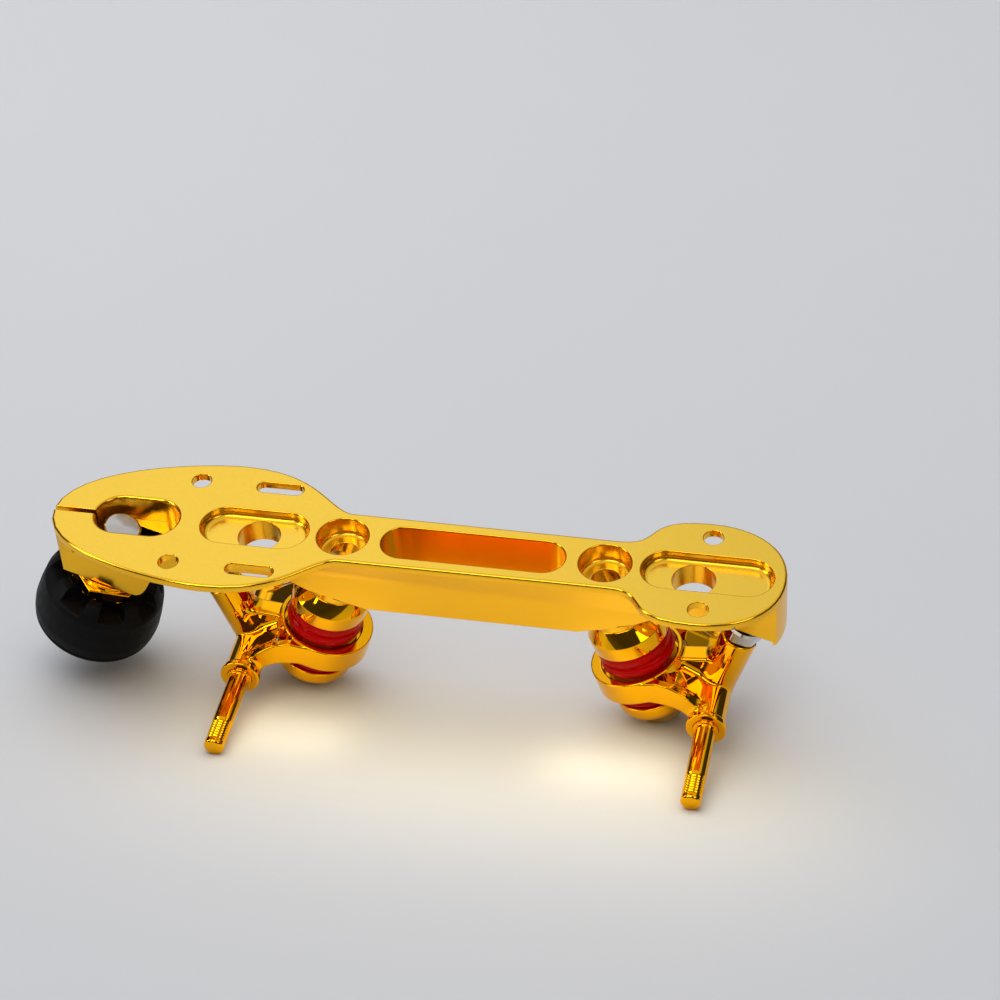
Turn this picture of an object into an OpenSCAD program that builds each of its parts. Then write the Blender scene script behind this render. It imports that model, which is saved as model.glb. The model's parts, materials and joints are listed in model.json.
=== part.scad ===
// Roller skate plate: a milled sole plate with two sprung trucks and an adjustable toe stop.
// X points to the toe, Y to the skate's left and Z up. The sole face is at Z = 0,
// and X = 0 lies midway between the two kingpin bores.

/* [Sole plate] */
// Distance between the kingpin bores in the sole face
kingpin_spacing = 100; // [90:1:130]
// Thickness of the sole flange
flange_t = 3.2; // [2.5:0.1:4]
// From the front kingpin bore to the toe tip
toe_reach = 114.4; // [112:0.2:130]
// From the front kingpin bore to the widest part of the toe
toe_wide_at = 46; // [40:1:56]
// Half-width of the toe at its widest
toe_half_w = 33.8; // [30:0.2:42]
// Half-width of the waist
waist_half_w = 12.9; // [12.2:0.1:16]
// From the rear kingpin bore to the heel end
heel_reach = 67.3; // [66.5:0.1:80]
// From the rear kingpin bore to the widest part of the heel
heel_wide_at = 36; // [30:1:44]
// Half-width of the heel at its widest
heel_half_w = 27.2; // [24:0.2:36]

/* [Beam] */
// Half-width of the beam under the flange
beam_half_w = 11.4; // [11.2:0.1:12]
// Depth of the beam between the trucks
beam_depth = 26.2; // [25:0.1:32]
// Depth of the flat facets round the access holes
facet_depth = 13.7; // [12:0.1:15]
// From a kingpin bore to the near end of its flat facet
facet_at = 23; // [20:0.5:24]
// From a kingpin bore to the far end of its inclined kingpin seat
seat_end_at = 12.5; // [10:0.5:15]
// From the rear kingpin bore to the heel lip
heel_lip_at = 63.8; // [62:0.1:65]
// Depth of the heel lip
heel_lip_depth = 22; // [21:0.1:26]

/* [Pockets and holes] */
// Depth of the shallow pockets in the toe and heel
pocket_depth = 4.3; // [3.5:0.1:6]
// Radius between the floor and the wall of the shallow pockets
pocket_round = 2.5; // [1:0.1:3]
// Half-width of the shallow pockets
pocket_half_w = 9.7; // [8.6:0.1:10]
// From a kingpin bore to the near end of its shallow pocket
pocket_from = 13.5; // [12.5:0.1:16]
// From the front kingpin bore to the far end of its shallow pocket
toe_pocket_to = 55.4; // [50:0.1:56]
// From the rear kingpin bore to the far end of its shallow pocket
heel_pocket_to = 62.6; // [55:0.1:63]
// From a kingpin bore to the access hole
access_at = 33; // [31:0.5:35]
// Radius of the access holes
access_r = 8.1; // [6:0.1:8.4]
// Gap between a kingpin bore's centre and the end of the long pocket
long_pocket_gap = 15; // [13:0.5:22]
// Half-width of the long pocket
long_pocket_half_w = 8.3; // [6:0.1:9]
// Depth of the long pocket
long_pocket_depth = 21; // [12:0.5:21]
// From the front kingpin bore to the toe bolt holes
toe_hole_at = 61.75; // [58:0.25:66]
// Half the spacing of the toe bolt holes
toe_hole_y = 22.8; // [20:0.1:25]
// From the rear kingpin bore to the heel bolt holes
heel_hole_at = 37.5; // [34:0.25:42]
// Half the spacing of the heel bolt holes
heel_hole_y = 19.2; // [17:0.1:21]
// Radius of the bolt holes
bolt_hole_r = 3.75; // [2.5:0.05:4]
// From the front kingpin bore to the middle of the bolt slots
slot_at = 30.3; // [26:0.1:34]
// Length of a bolt slot
slot_l = 18.2; // [12:0.1:20]
// Width of a bolt slot
slot_w = 5.5; // [4.5:0.1:7]

/* [Kingpins] */
// Lean of the kingpins towards the ends of the plate
kingpin_tilt = 17.5; // [16:0.5:19]
// Radius of the counterbore above a kingpin
counterbore_r = 9.8; // [8:0.1:10]
// Depth of the counterbore above a kingpin
counterbore_depth = 8; // [7:0.1:9]
// Radius between the floor and the wall of the counterbore
counterbore_round = 2; // [1:0.1:3]
// Radius of the kingpin
kingpin_r = 5; // [4:0.1:5.5]
// Width across the flats of the kingpin head
kingpin_af = 17; // [14:0.1:18]
// Height of the kingpin head above its flange
kingpin_head_h = 5.7; // [4:0.1:8]

/* [Bushing stack] */
// From the counterbore floor along the kingpin to the beam's seat
seat_s = 14.6; // [13.5:0.1:15.5]
// Height of the boss on the seat
boss_h = 2.9; // [2:0.1:4]
// Height of the inner cup
inner_cup_h = 11.4; // [10:0.1:12]
// Radius of the inner cup
inner_cup_r = 15; // [14.6:0.1:16.4]
// Height of the inner bushing between its cup and the hanger
inner_bushing_h = 10.2; // [9:0.1:11.5]
// Radius of the bushings at their widest
bushing_r = 14.8; // [14.5:0.1:15.4]
// Height of the outer bushing between the hanger and its cup
outer_bushing_h = 5.9; // [5.5:0.1:8]
// Height of the outer cup
outer_cup_h = 7; // [5.5:0.1:9]
// Radius of the outer cup
outer_cup_r = 15.2; // [14.6:0.1:15.8]
// Depth to which a bushing sits in its cup
cup_recess = 2; // [1:0.1:2.5]

/* [Hangers] */
// Radius of the hanger ring
ring_r = 17.6; // [17.2:0.1:20]
// Shift of the ring's outside from the kingpin towards mid-plate
ring_shift = 2; // [1:0.1:2.4]
// Height of the hanger ring
ring_h = 10; // [8.5:0.1:11]
// Thickness of the web across the ring
ring_web = 3; // [2.5:0.1:4]
// Least wall of the ring round a bushing
ring_lip = 1.7; // [1.2:0.1:2]
// From the kingpin bore to the axle, along the plate
axle_at = 40.6; // [40:0.1:44]
// From the sole face down to the axle
axle_drop = 57.7; // [56:0.1:60]
// Radius of the axle sleeve
sleeve_r = 6.8; // [6:0.1:7.2]
// Half the width of the hanger across its collars
hanger_half_w = 24.2; // [22:0.1:32]
// Radius of the collars
collar_r = 7.7; // [7.3:0.1:8.5]
// Width of a collar
collar_w = 2.6; // [2:0.1:4]
// Thickness of the arms
arm_w = 3.4; // [3:0.1:5]
// Outward spread of each arm from the ring to the axle
arm_flare = 3; // [1:0.1:4]

/* [Axles] */
// Radius of the axle
axle_r = 4; // [3:0.1:4.5]
// Half the length of the axle
axle_half_l = 61.4; // [56:0.1:72]
// Length of thread at each end of the axle
thread_l = 11; // [8:0.5:16]
// Pitch of the thread
thread_pitch = 1.25; // [1:0.25:2]
// Length of the plain tip beyond the thread
tip_l = 1.8; // [1.5:0.1:6]

/* [Pivots] */
// Lean of the pivots towards the ends of the plate
pivot_tilt = 19; // [18:0.5:20]
// From the axle along the pivot to the beam's pivot face
pivot_face_q = 42.5; // [42:0.1:43.5]
// Length of the pivot tube above the axle
pivot_tube_l = 29.3; // [26:0.1:30]
// Radius of the pivot tube
pivot_tube_r = 7.1; // [6.4:0.1:7.6]
// Radius of the pivot pin and of its ball
pivot_r = 4; // [3.5:0.1:4.2]
// Depth of the ball's centre in the beam
pivot_ball_depth = 4.5; // [4:0.1:5]
// Outer radius of the pivot cup
pivot_cup_r = 5.6; // [5.4:0.1:6]
// Length of the pivot cup
pivot_cup_l = 9.6; // [9:0.1:10]
// Width across the flats of the pivot lock nut
pivot_nut_af = 14; // [12:0.1:14.5]
// Height of the pivot lock nut
pivot_nut_h = 7; // [5:0.1:8]

/* [Toe block] */
// Lean of the toe stop towards the toe
toe_stop_tilt = 21; // [19:0.5:22]
// From the front kingpin bore to the toe stop's axis at the block's lower face
toe_stop_at = 95.4; // [95:0.1:97]
// Depth of that point
toe_stop_drop = 27.5; // [26:0.1:29]
// From the front kingpin bore to the front of the block
toe_block_front_at = 110.5; // [109:0.1:111.5]
// From the front kingpin bore to the back of the block's lower face
toe_block_back_at = 85; // [83:0.1:86]
// From the front kingpin bore to the valley behind the block
valley_at = 69.5; // [68:0.1:71]
// Depth of the valley
valley_depth = 19.3; // [18:0.1:20]
// From the front kingpin bore to the back of the stem pocket
stem_pocket_from = 64.6; // [64:0.1:67]
// From the front kingpin bore to the front of the stem pocket
stem_pocket_to = 97.4; // [96:0.1:98]
// Depth of the stem pocket
stem_pocket_depth = 11.5; // [10:0.1:12.5]
// Width of the clamp slit
slit_w = 2; // [1:0.1:2.5]
// From the front kingpin bore to the back end of the clamp slit
slit_from = 67; // [66:0.5:70]
// From the front kingpin bore to the clamp screw
clamp_at = 104; // [103.5:0.1:104.5]
// Depth of the clamp screw
clamp_drop = 10.6; // [9.5:0.1:11]
// Radius of the clamp screw
clamp_r = 2.5; // [2:0.1:2.7]
// Radius of the clamp screw's head
clamp_head_r = 4.3; // [3.8:0.1:4.6]
// Height of the clamp screw's head
clamp_head_h = 5; // [4:0.1:6]

/* [Toe stop] */
// Radius of the stem
stem_r = 7.3; // [6:0.1:7.6]
// Length of the stem inside the block
stem_in = 22.5; // [18:0.1:24]
// Width across the flats of the lock nut
stop_nut_af = 27; // [22:0.5:27.5]
// Height of the lock nut with its round face
stop_nut_h = 6.7; // [5:0.1:7]
// From the block to the rim of the rubber's skirt
stop_rim_t = 4.8; // [4.4:0.1:5.6]
// From the block to the rubber's face
stop_face_t = 34; // [31:0.5:38]
// Radius of the rubber at its widest
stop_r = 24.8; // [24:0.2:27]
// Radius of the rubber's face
stop_face_r = 21.2; // [19:0.2:21.6]
// Radius of the skirt's rim
stop_rim_r = 19.6; // [19.2:0.1:22]
// Number of notches round the skirt
stop_notches = 8; // [6:1:8]
// Width of a notch
stop_notch_w = 9.4; // [7:0.1:10]
// Depth of a notch
stop_notch_depth = 5.5; // [4:0.1:6]
// Width of a tread groove
tread_w = 2; // [1:0.1:3]
// Depth of the tread
tread_depth = 1.8; // [0.8:0.1:2.5]
// Spacing of the tread grooves
tread_pitch = 8.5; // [7:0.1:11]

/* [Clearances] */
// Running clearance of a pin, screw or ball in its hole
run = 0.06; // [0.03:0.01:0.1]
// Clearance of pieces that stay together
seat_gap = 0.02; // [0.01:0.01:0.05]
// Clearance of a bushing from what moves against it
soft_gap = 0.25; // [0.2:0.05:0.4]

/* [Hidden] */
$fn = 64;
// Extra reach of a cutting shape past the face it opens
cut = 1;
gold = "#e0a92c";
dark_gold = "#c08a24";
steel = "#c2c4c8";
urethane = "#a80f14";
rubber = "#18191b";
nylon = "#e8e6de";

// Stations along the kingpin, from the counterbore floor outwards
kp_x = kingpin_spacing / 2;
boss_s = seat_s + boss_h;
inner_rim_s = boss_s + inner_cup_h;
ring_s = inner_rim_s + inner_bushing_h;
ring_end_s = ring_s + ring_h;
web_s = ring_s + (ring_h - ring_web) / 2;
web_end_s = web_s + ring_web;
outer_rim_s = ring_end_s + outer_bushing_h;
outer_end_s = outer_rim_s + outer_cup_h;
kingpin_flange_h = 1;
kingpin_flange_r = kingpin_af / 2 / cos(30) - 0.2;
kingpin_end_s = outer_end_s + kingpin_flange_h + kingpin_head_h;
kingpin_start_s = 3;
screw_slot_w = 2.2;
screw_slot_depth = 1.8;
pin_hole_r = kingpin_r + 0.3;
web_hole_r = kingpin_r + 2.5;
bushing_neck_r = 13.4;
recess_r = bushing_r + 0.4;

// Stations along the pivot, from the axle up into the beam
axle_x = kp_x + axle_at;
pivot_ball_q = pivot_face_q + pivot_ball_depth;
pivot_cup_q = pivot_face_q + 0.2;
pivot_nut_q = pivot_tube_l + 1.6;
pivot_neck_r = pivot_r - 1;
pivot_thread_q = pivot_nut_q + pivot_nut_h + 0.6;
pivot_pin_q = 14;
core_r = axle_r + 0.8;
core_half_l = hanger_half_w + 0.8;

// Stations along the toe stop's axis, from the block's lower face outwards
stop_x = kp_x + toe_stop_at;
stop_nut_t = 0.3;
stop_recess_t = stop_nut_t + stop_nut_h + 0.4;
stop_recess_r = stop_nut_af / 2 / cos(30) + 0.6;
// Rubber between the skirt's recess and the disc, round the disc and past the widest part
stop_roof_h = 6;
stop_wall = 9;
stop_crown_h = 9;
stop_disc_t = stop_recess_t + stop_roof_h;
stop_disc_h = 3;
stop_disc_r = stop_r - stop_wall;
stop_stem_end_t = stop_disc_t + stop_disc_h;
stop_wide_t = stop_face_t - stop_crown_h;
stop_groove = 0.8;
stop_nut_face_h = 1.7;
stop_nut_turn = 15.6;
stem_chamfer = 0.8;
clamp_vent_r = 1.5;

// Points on a cubic curve through four control points, without its last point
curve_steps = 12;
function curve_at(p, t) =
    pow(1 - t, 3) * p[0] + 3 * pow(1 - t, 2) * t * p[1] + 3 * (1 - t) * t * t * p[2] + t * t * t * p[3];
function curve(p) = [for (i = [0:curve_steps - 1]) curve_at(p, i / curve_steps)];
function mirrored(points) = [for (i = [len(points) - 2:-1:1]) [points[i][0], -points[i][1]]];

// Half outline of the flange, from the toe tip along the left side to the heel end
toe_tip_x = kp_x + toe_reach;
toe_wide_x = kp_x + toe_wide_at;
toe_waist_x = kp_x - 3;
heel_waist_x = -kp_x - 3;
heel_wide_x = -kp_x - heel_wide_at;
heel_end_x = -kp_x - heel_reach;
toe_len = toe_tip_x - toe_wide_x;
toe_neck = toe_wide_x - toe_waist_x;
heel_neck = heel_waist_x - heel_wide_x;
heel_len = heel_wide_x - heel_end_x;
half_outline = concat(
    curve([[toe_tip_x, 0], [toe_tip_x, 0.71 * toe_half_w],
        [toe_wide_x + 0.29 * toe_len, toe_half_w], [toe_wide_x, toe_half_w]]),
    curve([[toe_wide_x, toe_half_w], [toe_wide_x - 0.64 * toe_neck, toe_half_w],
        [toe_waist_x + 0.25 * toe_neck, waist_half_w], [toe_waist_x, waist_half_w]]),
    curve([[heel_waist_x, waist_half_w], [heel_waist_x - 0.52 * heel_neck, waist_half_w],
        [heel_wide_x + 0.85 * heel_neck, heel_half_w], [heel_wide_x, heel_half_w]]),
    curve([[heel_wide_x, heel_half_w], [heel_wide_x - 0.58 * heel_len, heel_half_w],
        [heel_end_x, 0.62 * heel_half_w], [heel_end_x, 0]]),
    [[heel_end_x, 0]]);

// Side profile of the beam: seats square to the kingpins, pivots and toe stop
seat_x = kp_x + seat_s * sin(kingpin_tilt);
seat_z = -counterbore_depth - seat_s * cos(kingpin_tilt);
pivot_face_x = axle_x + pivot_face_q * sin(pivot_tilt);
pivot_face_z = -axle_drop + pivot_face_q * cos(pivot_tilt);
function seat_line(x) = seat_z + (x - seat_x) * tan(kingpin_tilt);
function pivot_line(x) = pivot_face_z - (x - pivot_face_x) * tan(pivot_tilt);
function block_line(x) = -toe_stop_drop + (x - stop_x) * tan(toe_stop_tilt);
seat_start_x = seat_x - (beam_depth + seat_z) / tan(kingpin_tilt);
seat_end_x = kp_x + seat_end_at;
facet_x = kp_x + facet_at;
pivot_start_x = pivot_face_x + (pivot_face_z + facet_depth) / tan(pivot_tilt);
pivot_stop_x = kp_x + valley_at - 5;
heel_lip_x = kp_x + heel_lip_at;
block_back_x = kp_x + toe_block_back_at;
block_front_x = kp_x + toe_block_front_at;
valley_x = kp_x + valley_at;
block_round = block_back_x - valley_x;
truck_profile = [
    [pivot_start_x, -facet_depth],
    [facet_x, -facet_depth],
    [seat_end_x, seat_line(seat_end_x)],
    [seat_start_x, -beam_depth]
];
beam_profile = concat(
    [[block_front_x, -flange_t / 2], [block_front_x, block_line(block_front_x)]],
    curve([[block_back_x, block_line(block_back_x)],
        [block_back_x - 0.52 * block_round, block_line(block_back_x - 0.5 * block_round)],
        [valley_x + 0.55 * block_round, -valley_depth - 0.7], [valley_x, -valley_depth]]),
    [[valley_x, -valley_depth], [pivot_stop_x, pivot_line(pivot_stop_x)]],
    truck_profile,
    [for (i = [len(truck_profile) - 1:-1:0]) [-truck_profile[i][0], truck_profile[i][1]]],
    [[-heel_lip_x, pivot_line(heel_lip_x)], [-heel_lip_x, -heel_lip_depth],
        [heel_end_x - cut, -heel_lip_depth], [heel_end_x - cut, -flange_t / 2]]);

// Placing on the kingpin, pivot, axle and toe stop axes of the front truck
module on_kingpin() {
    translate([kp_x, 0, -counterbore_depth]) rotate([0, 180 - kingpin_tilt, 0]) children();
}

module on_pivot() {
    translate([axle_x, 0, -axle_drop]) rotate([0, pivot_tilt, 0]) children();
}

module on_axle() {
    translate([axle_x, 0, -axle_drop]) rotate([90, 0, 0]) children();
}

module on_toe_stop() {
    translate([stop_x, 0, -toe_stop_drop]) rotate([0, 180 - toe_stop_tilt, 0]) children();
}

module on_clamp() {
    translate([kp_x + clamp_at, -beam_half_w, -clamp_drop]) rotate([-90, 0, 0]) children();
}

// The rear truck is the front one mirrored about mid-plate
module both_trucks() {
    children();
    mirror([1, 0, 0]) children();
}

module rear() {
    mirror([1, 0, 0]) children();
}

// Points of the truck's side view: out from a kingpin station, by the axle and up the pivot
function on_ring(x, s) = [kp_x + s * sin(kingpin_tilt) + x * cos(kingpin_tilt),
    -counterbore_depth - s * cos(kingpin_tilt) + x * sin(kingpin_tilt)];
function by_axle(p) = [axle_x + p[0], -axle_drop + p[1]];
function on_tube(q) = [axle_x + q * sin(pivot_tilt), -axle_drop + q * cos(pivot_tilt)];

// A side view given thickness from from_y to the left
module slab(from_y, w) {
    translate([0, from_y + w, 0]) rotate([90, 0, 0]) linear_extrude(w) children();
}

module stadium(from_x, to_x, half_w) {
    translate([from_x + half_w, -half_w]) square([to_x - from_x - 2 * half_w, 2 * half_w]);
    for (x = [from_x + half_w, to_x - half_w]) translate([x, 0]) circle(r = half_w);
}

module pocket(from_x, to_x, half_w, depth) {
    translate([0, 0, -depth]) linear_extrude(depth + cut) stadium(from_x, to_x, half_w);
}

// Half section of a pocket whose floor meets its wall in a rounded corner
function dish(half_w, depth, round_r) = concat(
    [[0, cut], [0, -depth]],
    [for (a = [0:15:90]) [half_w - round_r + round_r * sin(a), -depth + round_r - round_r * cos(a)]],
    [[half_w, cut]]);

module dished_pocket(from_x, to_x, half_w, depth, round_r) {
    section = dish(half_w, depth, round_r);
    for (x = [from_x + half_w, to_x - half_w]) translate([x, 0, 0]) rotate_extrude() polygon(section);
    translate([from_x + half_w, 0, 0]) rotate([90, 0, 90]) linear_extrude(to_x - from_x - 2 * half_w)
        polygon(concat([for (i = [1:len(section) - 1]) section[i]],
            [for (i = [len(section) - 1:-1:2]) [-section[i][0], section[i][1]]]));
}

module hex(af, h) {
    cylinder(d = af / cos(30), h = h, $fn = 6);
}

module flange() {
    translate([0, 0, -flange_t]) linear_extrude(flange_t) polygon(concat(half_outline, mirrored(half_outline)));
}

module beam() {
    intersection() {
        rotate([90, 0, 0]) linear_extrude(2 * beam_half_w, center = true) polygon(beam_profile);
        translate([0, 0, -2 * beam_depth])
            linear_extrude(2 * beam_depth) polygon(concat(half_outline, mirrored(half_outline)));
    }
    both_trucks() on_kingpin() translate([0, 0, seat_s - cut]) cylinder(r = beam_half_w, h = boss_h + cut);
}

module bolt_holes() {
    for (y = [-toe_hole_y, toe_hole_y])
        translate([kp_x + toe_hole_at, y, -flange_t - cut]) cylinder(r = bolt_hole_r, h = flange_t + 2 * cut);
    for (y = [-heel_hole_y, heel_hole_y])
        translate([-kp_x - heel_hole_at, y, -flange_t - cut]) cylinder(r = bolt_hole_r, h = flange_t + 2 * cut);
    for (y = [-toe_hole_y, toe_hole_y])
        translate([kp_x + slot_at, y, -flange_t - cut])
            linear_extrude(flange_t + 2 * cut) stadium(-slot_l / 2, slot_l / 2, slot_w / 2);
}

module pockets() {
    dished_pocket(kp_x + pocket_from, kp_x + toe_pocket_to, pocket_half_w, pocket_depth, pocket_round);
    dished_pocket(-kp_x - heel_pocket_to, -kp_x - pocket_from, pocket_half_w, pocket_depth, pocket_round);
    pocket(-kp_x + long_pocket_gap, kp_x - long_pocket_gap, long_pocket_half_w, long_pocket_depth);
    pocket(kp_x + stem_pocket_from, kp_x + stem_pocket_to, pocket_half_w, stem_pocket_depth);
}

module truck_holes() {
    translate([kp_x + access_at, 0, -facet_depth - cut]) cylinder(r = access_r, h = facet_depth + cut);
    translate([kp_x, 0, 0]) rotate_extrude() polygon(dish(counterbore_r, counterbore_depth, counterbore_round));
    on_kingpin() translate([0, 0, -counterbore_r]) cylinder(r = kingpin_r + run, h = boss_s + counterbore_r + cut);
    on_pivot() translate([0, 0, pivot_face_q - cut])
        cylinder(r = pivot_cup_r + seat_gap, h = pivot_cup_q - pivot_face_q + pivot_cup_l + cut);
}

module toe_clamp_cuts() {
    on_toe_stop() translate([0, 0, -stem_in - 2 * stem_r]) cylinder(r = stem_r + run, h = stem_in + 2 * stem_r + cut);
    translate([kp_x + slit_from, -slit_w / 2, -2 * beam_depth])
        cube([toe_reach, slit_w, 2 * beam_depth + cut]);
    on_clamp() translate([0, 0, -cut]) cylinder(r = clamp_head_r + 0.5, h = clamp_head_h + 0.2 + cut);
    on_clamp() cylinder(r = clamp_r + run, h = 2 * beam_half_w - 2.5);
    on_clamp() cylinder(r = clamp_vent_r, h = 2 * beam_half_w + cut);
}

module plate() {
    color(gold) difference() {
        union() {
            flange();
            beam();
        }
        bolt_holes();
        pockets();
        both_trucks() truck_holes();
        toe_clamp_cuts();
    }
}

module kingpin() {
    color(dark_gold) on_kingpin() difference() {
        union() {
            translate([0, 0, kingpin_start_s]) cylinder(r = kingpin_r, h = outer_end_s - kingpin_start_s + cut);
            translate([0, 0, outer_end_s]) cylinder(r = kingpin_flange_r, h = kingpin_flange_h);
            intersection() {
                translate([0, 0, outer_end_s + kingpin_flange_h / 2])
                    hex(kingpin_af, kingpin_head_h + kingpin_flange_h / 2);
                translate([0, 0, outer_end_s])
                    cylinder(r1 = kingpin_af, r2 = kingpin_af / 2, h = kingpin_end_s - outer_end_s);
            }
        }
        translate([-kingpin_af, -screw_slot_w / 2, kingpin_end_s - screw_slot_depth])
            cube([2 * kingpin_af, screw_slot_w, screw_slot_depth + cut]);
    }
}

// Domed cup under the kingpin head, open towards the outer bushing
module outer_cup() {
    cup_top_r = outer_cup_r - 2.5;
    round_h = 3;
    color(gold) on_kingpin() rotate_extrude() polygon(concat(
        [[pin_hole_r, outer_rim_s + cup_recess], [bushing_neck_r + seat_gap, outer_rim_s + cup_recess],
            [bushing_neck_r + seat_gap, outer_rim_s], [outer_cup_r, outer_rim_s]],
        [for (a = [0:15:90]) [cup_top_r + (outer_cup_r - cup_top_r) * cos(a),
            outer_end_s - round_h + round_h * sin(a)]],
        [[pin_hole_r, outer_end_s]]));
}

// Cup on the beam's boss, open towards the inner bushing
module inner_cup() {
    color(gold) on_kingpin() rotate_extrude() polygon([
        [pin_hole_r, boss_s], [beam_half_w, boss_s], [inner_cup_r, boss_s + 0.47 * inner_cup_h],
        [inner_cup_r, inner_rim_s - 0.6], [inner_cup_r - 0.6, inner_rim_s],
        [bushing_neck_r + seat_gap, inner_rim_s], [bushing_neck_r + seat_gap, inner_rim_s - cup_recess],
        [pin_hole_r, inner_rim_s - cup_recess]]);
}

// Barrel bushing with a neck that sits in its cup; from_s is the cup's floor
module bushing(from_s, rim_s, to_s) {
    bulge = 1;
    neck_s = rim_s + (to_s > from_s ? soft_gap : -soft_gap);
    color(urethane) on_kingpin() rotate_extrude() polygon(concat(
        [[pin_hole_r, from_s], [bushing_neck_r, from_s], [bushing_neck_r, neck_s]],
        [for (i = [0:8]) [bushing_r - bulge + bulge * sin(i * 22.5), neck_s + (to_s - neck_s) * i / 8]],
        [[pin_hole_r, to_s]]));
}

module inner_bushing() {
    bushing(inner_rim_s - cup_recess, inner_rim_s, web_s - soft_gap);
}

module outer_bushing() {
    bushing(outer_rim_s + cup_recess, outer_rim_s, web_end_s + soft_gap);
}

// Drum round the bushings, thicker towards mid-plate, before its seats are cut
module hanger_ring() {
    edge = 0.5;
    translate([0, 0, ring_s]) cylinder(r = recess_r + ring_lip, h = ring_h);
    translate([ring_shift, 0, ring_s]) rotate_extrude() polygon([
        [0, 0], [ring_r - edge, 0], [ring_r, edge], [ring_r, ring_h - edge], [ring_r - edge, ring_h], [0, ring_h]]);
}

module hanger_sleeve() {
    collar_in = hanger_half_w - collar_w;
    for (side = [0, 180]) rotate([side, 0, 0]) rotate_extrude() polygon([
        [0, 0], [sleeve_r, 0], [sleeve_r, collar_in - 1], [collar_r, collar_in],
        [collar_r, hanger_half_w - 0.9], [collar_r - 0.9, hanger_half_w], [0, hanger_half_w]]);
}

// Two arms leave the ring at its sides for the ends of the sleeve, with a web between them,
// and a rib joins the pivot tube
module hanger_arms() {
    ring_x = on_ring(0, (ring_s + ring_end_s) / 2)[0];
    ring_side_y = sqrt(ring_r * ring_r - ring_shift * ring_shift);
    end_y = ring_side_y + arm_flare;
    arm_top_s = ring_s + 0.5;
    arm_under_s = ring_end_s - 0.2;
    // Where the arm's upper and lower edges leave the ring, and where it ends inside the ring
    top_out = 9;
    under_out = 4;
    root_out = -2;
    // Bends of the upper and lower edges, measured from the axle
    top_bends = [[-14, 15], [-8, 11.5], [-3, 6]];
    under_bends = [[-6, -1], [-9, 3.5], [-14, 5]];
    rib_w = 8;
    rib_bite = 2;
    rib_below_tube_end = 11;
    rib_foot = [-5, 1];
    web_drop = 4;
    web_top = [-2, 6.5];
    for (side = [-1, 1]) intersection() {
        slab(-hanger_half_w, 2 * hanger_half_w) polygon(concat(
            curve(concat([on_ring(top_out, arm_top_s)], [for (bend = top_bends) by_axle(bend)])),
            [by_axle(top_bends[2]), by_axle([0, 0])],
            curve(concat([for (bend = under_bends) by_axle(bend)], [on_ring(under_out, arm_under_s)])),
            [on_ring(under_out, arm_under_s), on_ring(root_out, arm_under_s), on_ring(root_out, arm_top_s)]));
        translate([0, 0, -2 * axle_drop]) linear_extrude(2 * axle_drop) polygon([
            [ring_x, side * (ring_side_y - arm_w)], [ring_x, side * ring_side_y],
            [axle_x, side * end_y], [axle_x, side * (end_y - arm_w)]]);
    }
    slab(-ring_side_y + arm_w / 2, 2 * ring_side_y - arm_w) polygon([
        on_ring(recess_r, ring_s + web_drop), by_axle(web_top), by_axle([0, 0]),
        by_axle(under_bends[0]), on_ring(recess_r, arm_under_s)]);
    slab(-rib_w / 2, rib_w) polygon([
        on_ring(ring_r - rib_bite, ring_s + rib_bite), on_tube(pivot_tube_l - rib_below_tube_end),
        on_tube(rib_bite), by_axle(rib_foot), on_ring(ring_r - rib_bite, ring_end_s - 1)]);
}

module hanger() {
    color(gold) difference() {
        union() {
            on_kingpin() hanger_ring();
            on_axle() hanger_sleeve();
            on_pivot() rotate_extrude() polygon([
                [0, 0], [pivot_tube_r, 0], [pivot_tube_r, pivot_tube_l - 1],
                [pivot_tube_r - 1, pivot_tube_l], [0, pivot_tube_l]]);
            hanger_arms();
        }
        on_kingpin() translate([0, 0, web_end_s]) cylinder(r = recess_r, h = outer_end_s);
        on_kingpin() translate([0, 0, web_s - ring_s]) cylinder(r = recess_r, h = ring_s);
        on_kingpin() translate([0, 0, ring_s]) cylinder(r = web_hole_r, h = ring_h);
        on_axle() cylinder(r = core_r + seat_gap, h = 2 * hanger_half_w + 2 * cut, center = true);
        on_pivot() translate([0, 0, pivot_pin_q - seat_gap]) cylinder(r = pivot_r + seat_gap, h = pivot_tube_l);
    }
}

// Axle with a thicker core in the sleeve, and a thread and a plain tip at each end
module axle() {
    root_r = axle_r - 0.7;
    crest_r = axle_r - 0.05;
    tip_r = axle_r - 0.3;
    turns = floor(thread_l / thread_pitch);
    thread_end = axle_half_l - tip_l;
    end_profile = concat(
        [[core_r, core_half_l], [axle_r, core_half_l],
            [axle_r, thread_end - turns * thread_pitch - thread_pitch / 2]],
        [for (i = [0:turns - 1]) for (half = [0, 1])
            [half == 0 ? root_r : crest_r, thread_end - (turns - i - half / 2) * thread_pitch]],
        [[tip_r, thread_end], [tip_r, axle_half_l - 0.9], [tip_r - 0.9, axle_half_l]]);
    color(gold) on_axle() rotate_extrude() polygon(concat(
        [[0, -axle_half_l]],
        [for (i = [len(end_profile) - 1:-1:0]) [end_profile[i][0], -end_profile[i][1]]],
        end_profile,
        [[0, axle_half_l]]));
}

// Threaded pin with a ball end that turns in the pivot cup
module pivot_pin() {
    color(steel) on_pivot() {
        translate([0, 0, pivot_pin_q]) cylinder(r = pivot_r, h = pivot_thread_q - pivot_pin_q);
        translate([0, 0, pivot_thread_q - cut]) cylinder(r = pivot_neck_r, h = pivot_ball_q - pivot_thread_q + cut);
        translate([0, 0, pivot_ball_q]) sphere(r = pivot_r);
    }
}

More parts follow.
